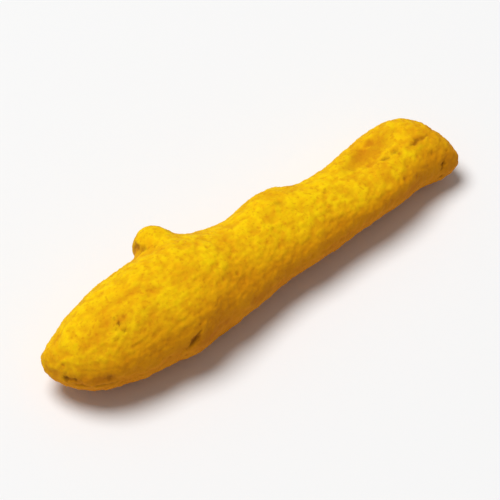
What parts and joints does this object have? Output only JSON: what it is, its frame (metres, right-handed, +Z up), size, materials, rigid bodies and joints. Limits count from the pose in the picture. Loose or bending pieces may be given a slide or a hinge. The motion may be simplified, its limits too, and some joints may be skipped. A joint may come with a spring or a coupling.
{
  "type": "dried turmeric root",
  "caption": "One whole dried and polished turmeric finger: a tapering, knobbly rhizome with a small side bud, lying on its belly",
  "frame": {"origin": "middle of the finger's plan, on the surface it lies on", "axes": "+X runs along the finger from its blunt lower end to its head, +Y is the side with the bud and the bend, +Z is up"},
  "size_m": [0.0752, 0.0204, 0.016],
  "materials": {
    "turmeric_skin": "matt, dry skin rubbed smooth and dusted with its own orange-yellow powder"
  },
  "bodies": {
    "root": {"turmeric_root": "turmeric_skin"}
  },
  "joints": []
}
